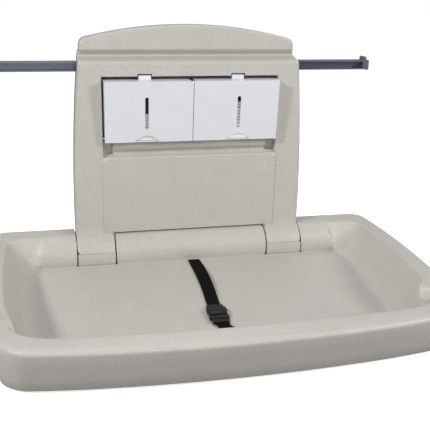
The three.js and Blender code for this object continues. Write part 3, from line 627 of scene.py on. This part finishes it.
def panel_grid():
    """Right half of the face, rows from the foot to the arch, then the rim that turns back to the wall."""
    rows = np.concatenate([np.full(len(foot_turn), panel_foot + 1.5 * mm), panel_z])
    edge = cheek_edge(rows)[:, None] - edge_r
    x = np.concatenate([np.broadcast_to(panel_x, (len(rows), len(panel_x))),
                        panel_x[-1] + (edge - panel_x[-1]) * outer_shares], axis=1)
    z = np.broadcast_to(rows[:, None], x.shape).copy()
    y = panel_face(x, z)
    # fingers: the foot's rows turn down round the hinge
    columns = np.arange(x.shape[1])
    first = np.flatnonzero(np.abs(panel_x - finger_x) < 1e-9)[1]
    is_finger = columns >= first
    bent = slice(0, len(foot_turn))
    turn = np.radians(finger_end[0] + foot_turn * (finger_end[1] - finger_end[0]))[:, None]
    radius = finger_r - mm * np.interp(x[bent] / mm, [164.5, 164.9, 165.8, 167], [1.4, 0.6, 0.12, 0])
    z[bent] = np.where(is_finger, radius * np.sin(turn), panel_foot + (0.4 + foot_turn[:, None]) * mm)
    y[bent] = np.where(is_finger, hinge_y - radius * np.cos(turn), y[bent])
    # the arched top
    straight_x, late = 190 * mm, 0.25
    corner_x = plate_half - shoulder
    round_share = np.clip((x[-1] - straight_x) / (x[-1, -1] - straight_x), 0, 1)
    angle = np.maximum(round_share * np.pi / 2 - late, 0) / (np.pi / 2 - late) * np.pi / 2
    inner_r = shoulder - edge_r
    corner_z = arch_apex - edge_r - corner_x ** 2 / (2 * arch_r) - inner_r
    top_x = np.where(round_share > 0, straight_x + (corner_x - straight_x) * smooth(0, 0.2, round_share)
                     + inner_r * np.sin(angle), x[-1])
    top_z = np.where(top_x > corner_x,
                     corner_z + np.sqrt(np.maximum(inner_r ** 2 - (top_x - corner_x) ** 2, 0)),
                     arch_apex - edge_r - top_x ** 2 / (2 * arch_r))
    rise = top_rise[:, None]
    x = np.vstack([x, x[-1] + rise * (top_x - x[-1])])
    z = np.vstack([z, z[-1] + rise * (top_z - z[-1])])
    y = np.vstack([y, np.broadcast_to(y[-1], (len(top_rise), y.shape[1]))])
    face = np.stack([x, y, z], -1)
    # rim: a quarter turn outwards, then straight back
    border = np.concatenate([face[0], face[1:, -1], face[-1, -2::-1]])
    count_foot, count_side = len(face[0]), len(face) - 1
    along_x = np.gradient(border[:, 0])
    along_z = np.gradient(border[:, 2])
    normal = np.stack([along_z, 0 * along_z, -along_x], -1)
    normal /= np.linalg.norm(normal, axis=1)[:, None]
    normal[:count_foot - 1] = (0, 0, -1)
    normal[count_foot - 1] = (np.sqrt(0.5), 0, -np.sqrt(0.5))
    normal[-1] = (0, 0, 1)
    reach = np.full(len(border), edge_r)
    reach[:count_foot] = 0.5 * mm
    reach[count_foot - 1:count_foot + 2] = [1 * mm, 3 * mm, 4.5 * mm]
    finger_back, bar_clear = -8 * mm, -24 * mm
    back = np.full(len(border), -0.3 * mm)
    back[first:count_foot] = finger_back
    heights = border[:, 2]
    place = np.arange(len(border))
    on_side = (place >= count_foot) & (place < count_foot + count_side)
    back[on_side & (heights < panel_foot)] = finger_back
    back[on_side & (heights > bar_slot_z[0]) & (heights < bar_slot_z[1])] = bar_clear
    rim = []
    for angle in np.radians([0, 18, 36, 54, 72, 90]):
        ring = border + normal * (reach * np.sin(angle))[:, None]
        ring[:, 1] += reach * (1 - np.cos(angle))
        rim.append(ring)
    last = rim[-1].copy()
    last[:, 1] = back
    return face, np.array(rim + [last])


def mirrored(grid):
    """The same grid on the other side of X = 0."""
    return grid * (-1, 1, 1)


face, rim = panel_grid()
moulding("panel_moulding", [face, mirrored(face), rim, mirrored(rim)], polyethylene, "wall_unit",
         ["wall_panel"], wall=3 * mm)


# ---------------------------------------------------------------------------------------------------
# Mounting bar: flat steel bar with turned-up ends, powder painted, that runs through the back of the
# panel and carries it on the wall. Two screws hold it.
# ---------------------------------------------------------------------------------------------------


def slate_paint():
    """Satin powder paint on steel, dark blue-grey, with the 2 mm orange peel of a sprayed coat."""
    material, tree = new_material("slate_powder_paint")
    place = add_node(tree, "ShaderNodeTexCoord").outputs["Object"]
    peel = add_node(tree, "ShaderNodeTexNoise", {"Scale": 1 / (2 * mm), "Detail": 1.0}, {"Vector": place})
    ramp = add_node(tree, "ShaderNodeValToRGB", links={"Fac": peel.outputs["Fac"]})
    ramp.color_ramp.elements[0].color = linear("646973")
    ramp.color_ramp.elements[1].color = linear("7B808B")
    bump = add_node(tree, "ShaderNodeBump", {"Strength": 0.15, "Distance": 0.1 * mm},
                    {"Height": peel.outputs["Fac"]})
    finished(tree, add_node(tree, "ShaderNodeBsdfPrincipled", {"Metallic": 0.55, "Roughness": 0.3}, {
        "Base Color": ramp.outputs["Color"], "Normal": bump.outputs[0]}))
    return material


dress(["mounting_bar"], slate_paint(), 0.7 * mm)


# ---------------------------------------------------------------------------------------------------
# Finger covers: two curved polyethylene covers screwed under the panel's fingers, which close them round
# the hinge pins.
# ---------------------------------------------------------------------------------------------------

dress([f"finger_cover_{side}" for side in sides], polyethylene, 1.0 * mm)


# ---------------------------------------------------------------------------------------------------
# Liner dispensers: two tubs of white ABS that tip forward on pins, moulded with a sight slot and a thumb
# notch, and each held shut by a sprung snap tab on top.
# ---------------------------------------------------------------------------------------------------


def white_abs():
    """Injection-moulded ABS, a cool white with a soft gloss and a very slight ripple 30 mm long."""
    material, tree = new_material("white_abs")
    place = add_node(tree, "ShaderNodeTexCoord").outputs["Object"]
    ripple = add_node(tree, "ShaderNodeTexNoise", {"Scale": 1 / (30 * mm), "Detail": 1.0}, {"Vector": place})
    speck = add_node(tree, "ShaderNodeTexNoise", {"Scale": 1 / (1.6 * mm), "Detail": 2.0}, {"Vector": place})
    ramp = add_node(tree, "ShaderNodeValToRGB", links={"Fac": ripple.outputs["Fac"]})
    ramp.color_ramp.elements[0].color = linear("D8D9DD")
    ramp.color_ramp.elements[1].color = linear("E0E1E5")
    gloss = add_node(tree, "ShaderNodeMapRange", {"To Min": 0.26, "To Max": 0.38},
                     {"Value": speck.outputs["Fac"]})
    bump = add_node(tree, "ShaderNodeBump", {"Strength": 0.08, "Distance": 0.4 * mm},
                    {"Height": ripple.outputs["Fac"]})
    finished(tree, add_node(tree, "ShaderNodeBsdfPrincipled", {"IOR": 1.54}, {
        "Base Color": ramp.outputs["Color"], "Roughness": gloss.outputs[0], "Normal": bump.outputs[0]}))
    return material


abs_white = white_abs()
dress([f"dispenser_tub_{side}" for side in sides], abs_white, 1.9 * mm)
dress([f"latch_tab_{side}" for side in sides], abs_white, 0.8 * mm)


# ---------------------------------------------------------------------------------------------------
# Liners: creped tissue, folded and stacked in each tub so that the lowest can be pulled out.
# The left tub is half empty.
# ---------------------------------------------------------------------------------------------------


def tissue_paper():
    """Creped tissue: off-white, matt, with crepe ridges 1.2 mm apart and a little light through it."""
    material, tree = new_material("tissue_paper")
    place = add_node(tree, "ShaderNodeTexCoord").outputs["Object"]
    crepe = add_node(tree, "ShaderNodeTexNoise", {"Scale": 1 / (1.2 * mm), "Detail": 3.0}, {"Vector": place})
    ramp = add_node(tree, "ShaderNodeValToRGB", links={"Fac": crepe.outputs["Fac"]})
    ramp.color_ramp.elements[0].color = linear("DEDCD7")
    ramp.color_ramp.elements[1].color = linear("F2F0EC")
    bump = add_node(tree, "ShaderNodeBump", {"Strength": 0.4, "Distance": 0.3 * mm},
                    {"Height": crepe.outputs["Fac"]})
    finished(tree, add_node(tree, "ShaderNodeBsdfPrincipled", {"Roughness": 0.95, "Subsurface Weight": 0.1}, {
        "Base Color": ramp.outputs["Color"], "Normal": bump.outputs[0]}))
    return material


def folded_stack(low, high, seed):
    """A closed stack of folded sheets inside a box. Down its front and back the edge of each fold bulges as a
    half wave 6.2 mm high above the flat lowest sheets, and each sheet lies a little in or out of line."""
    fold = 6.2 * mm
    count = int((high.z - low.z) / fold)
    level = np.linspace(0, count, count * 6 + 1)
    z = low.z + (high.z - low.z) * level / count
    shift = np.random.default_rng(seed).uniform(0, 1.4 * mm, count + 1)[np.minimum(level.astype(int), count)]
    depth = 3.4 * mm * smooth(14 * mm, 22 * mm, z - low.z)
    bulge = depth * (np.abs(np.sin(np.pi * level)) ** 0.5 - 1) - shift
    lean = (low.y - high.y) * np.linspace(0.93, 1, len(z))
    x = np.array([low.x, low.x + 1 * mm, high.x - 1 * mm, high.x])
    ease = np.array([-1 * mm, 0, 0, -1 * mm])
    front = np.stack(np.broadcast_arrays(x, high.y + lean[:, None] - bulge[:, None] - ease, z[:, None]), -1)
    behind = np.stack(np.broadcast_arrays(x, high.y + bulge[:, None] + ease, z[:, None]), -1)
    round_loop = np.concatenate([front, behind[:, ::-1], front[:, :1]], axis=1)
    middle = round_loop[:, :-1].mean(axis=1, keepdims=True)
    foot = np.broadcast_to(middle[:1], (1, round_loop.shape[1], 3))
    head = np.broadcast_to(middle[-1:], (1, round_loop.shape[1], 3))
    return np.concatenate([foot, round_loop, head])


liner_paper = tissue_paper()
for seed, side in enumerate(sides):
    moulding(f"liners_{side}", [folded_stack(*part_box(f"liner_stack_{side}"), seed)], liner_paper,
             f"tub_{side}", [f"liner_stack_{side}"])


# ---------------------------------------------------------------------------------------------------
# Child strap: two lengths of 25 mm woven black nylon webbing, fixed under the bed's floor at the back and
# at the front, that lie on the floor and meet in the buckle.
# ---------------------------------------------------------------------------------------------------


def nylon_webbing():
    """Woven nylon webbing: black, matt, with ribs across it drawn 1.6 mm apart and a dusty sheen."""
    material, tree = new_material("nylon_webbing")
    place = add_node(tree, "ShaderNodeTexCoord").outputs["Object"]
    waves_in_unit = 20
    ribs = add_node(tree, "ShaderNodeTexWave", {
        "wave_type": "BANDS", "bands_direction": "Y", "Scale": 1 / (1.6 * mm) / waves_in_unit,
        "Distortion": 0.6}, {"Vector": place})
    yarns = add_node(tree, "ShaderNodeTexWave", {
        "wave_type": "BANDS", "bands_direction": "X", "Scale": 1 / (1.2 * mm) / waves_in_unit},
        {"Vector": place})
    weave = add_node(tree, "ShaderNodeMath", {"operation": "MULTIPLY"},
                     {0: ribs.outputs["Fac"], 1: yarns.outputs["Fac"]})
    ramp = add_node(tree, "ShaderNodeValToRGB", links={"Fac": weave.outputs[0]})
    ramp.color_ramp.elements[0].color = linear("040404")
    ramp.color_ramp.elements[1].color = linear("0A0A0B")
    bump = add_node(tree, "ShaderNodeBump", {"Strength": 0.6, "Distance": 0.4 * mm},
                    {"Height": weave.outputs[0]})
    finished(tree, add_node(tree, "ShaderNodeBsdfPrincipled", {"Roughness": 0.85, "Specular IOR Level": 0.15},
                            {"Base Color": ramp.outputs["Color"], "Normal": bump.outputs[0]}))
    return material


webbing = nylon_webbing()
strap_half = 12.5 * mm
strap_t = 1.6 * mm


def ribbon(route, drift, tilt):
    """A flat strap along a route of s and lift above the floor, drifting sideways and tilting about its own
    line. Its section is a thin rectangle with rounded selvedges, closed at both ends."""
    route = np.array(route, float)
    s = np.linspace(route[0, 0], route[-1, 0], 90) * mm
    lift = np.interp(s / mm, route[:, 0], route[:, 1]) * mm
    lift = np.convolve(np.pad(lift, 3, mode="edge"), np.ones(7) / 7, mode="valid")
    angle = np.linspace(0, 2 * np.pi, 25)
    across = strap_half * np.sign(np.cos(angle)) * np.abs(np.cos(angle)) ** 0.12
    up = strap_t / 2 * np.sign(np.sin(angle)) * np.abs(np.sin(angle)) ** 0.5
    lean = np.radians(tilt(s / mm))[:, None]
    x = drift(s / mm)[:, None] * mm + across * np.cos(lean) - up * np.sin(lean)
    z = ((basin_floor(s) + lift)[:, None] + strap_t / 2
         + np.abs(np.sin(lean)) * strap_half + across * np.sin(lean) + up)
    y = np.broadcast_to((back_y - s)[:, None], x.shape)
    skin = np.stack([x, y, z], -1)
    ends = [np.broadcast_to(ring.mean(axis=0), (1, len(angle), 3)) for ring in (skin[0, :-1], skin[-1, :-1])]
    return np.concatenate([ends[0], skin, ends[1]])


strap_slit, socket_s = 88, 289
plug_s, anchor_s = 345, 415
strap_span = socket_s - strap_slit
moulding("strap_back_webbing", [ribbon(
    [(86, -3), (92, 0.6), (100, 0.9), (150, 1.4), (200, 0.8), (270, 0.8), (289.6, 3)],
    lambda s: 3 * np.sin((s - strap_slit) / strap_span * np.pi),
    lambda s: 15 * np.sin((s - strap_slit) / strap_span * np.pi) ** 2)],
    webbing, "bed", ["strap_back"])
slack = ("buckle_plug", "bed",
         (0, back_y - (plug_s + 6) * mm, -30 * mm), (0, back_y - anchor_s * mm, -40 * mm))
moulding("strap_front_webbing", [ribbon(
    [(plug_s, 3), (362, 1.2), (380, 1), (402, 0.8), (412, 0.6), (420, 0.5)],
    lambda s: 15 * smooth(346, 384, s) * (1 - smooth(390, 414, s)),
    lambda s: 7 * np.sin(np.clip(s - 352, 0, 48) / 48 * np.pi) ** 2)],
    webbing, slack, ["strap_front"])


# ---------------------------------------------------------------------------------------------------
# Buckle: a side-release buckle of black acetal, a socket sewn to the back strap and a plug on the front
# one, which slides out forward.
# ---------------------------------------------------------------------------------------------------


def black_acetal():
    """Moulded acetal: near black, with a fine matt spark finish."""
    material, tree = new_material("black_acetal")
    place = add_node(tree, "ShaderNodeTexCoord").outputs["Object"]
    spark = add_node(tree, "ShaderNodeTexNoise", {"Scale": 1 / (1 * mm), "Detail": 2.0}, {"Vector": place})
    ramp = add_node(tree, "ShaderNodeValToRGB", links={"Fac": spark.outputs["Fac"]})
    ramp.color_ramp.elements[0].color = linear("070708")
    ramp.color_ramp.elements[1].color = linear("0F0F10")
    bump = add_node(tree, "ShaderNodeBump", {"Strength": 0.3, "Distance": 0.15 * mm},
                    {"Height": spark.outputs["Fac"]})
    finished(tree, add_node(tree, "ShaderNodeBsdfPrincipled", {"Roughness": 0.4, "IOR": 1.4}, {
        "Base Color": ramp.outputs["Color"], "Normal": bump.outputs[0]}))
    return material


def buckle_half(stations):
    """A closed moulded block from stations of s, half width, thickness and lift. Each cross-section is the
    superellipse |x/w|^6 + |z/h|^4 = 1, lying on the basin's floor."""
    s, half, thick, lift = np.array(stations, float).T[:, :, None] * mm
    angle = np.linspace(0, 2 * np.pi, 41)
    x = half * np.sign(np.cos(angle)) * np.abs(np.cos(angle)) ** (1 / 3)
    z = basin_floor(s) + lift + thick / 2 * (1 + np.sign(np.sin(angle)) * np.abs(np.sin(angle)) ** 0.5)
    skin = np.stack(np.broadcast_arrays(x, back_y - s, z), -1)
    ends = [np.broadcast_to(ring[:-1].mean(axis=0), (1, len(angle), 3)) for ring in (skin[0], skin[-1])]
    return np.concatenate([ends[0], skin, ends[1]])


acetal = black_acetal()
socket = buckle_half([
    (287, 15, 4, 1.6), (288.2, 16.2, 5.6, 0.9), (293, 16.6, 6, 0.7), (294, 15, 4.4, 0.9),
    (299.5, 15, 4.4, 0.9), (300.5, 18, 8.6, 0.5), (303, 19.2, 9.6, 0.4), (312, 19.5, 9.8, 0.4),
    (317, 17.4, 9.6, 0.4), (324, 17.4, 9.4, 0.4), (325.6, 16.6, 8, 0.9)])
plug = buckle_half([
    (326.2, 15.4, 5, 2), (327, 19, 6.6, 1.2), (330, 19.4, 7.2, 0.9), (335, 18.4, 6.8, 0.8),
    (336, 15.4, 4.6, 1), (341, 15.4, 4.6, 1), (342, 16.4, 6.2, 0.7), (347, 16.2, 6, 0.7),
    (348.2, 15, 4, 1.4)])
moulding("buckle_socket_body", [socket], acetal, "bed", ["buckle_socket"])
moulding("buckle_plug_body", [plug], acetal, "buckle_plug", ["buckle_plug"])
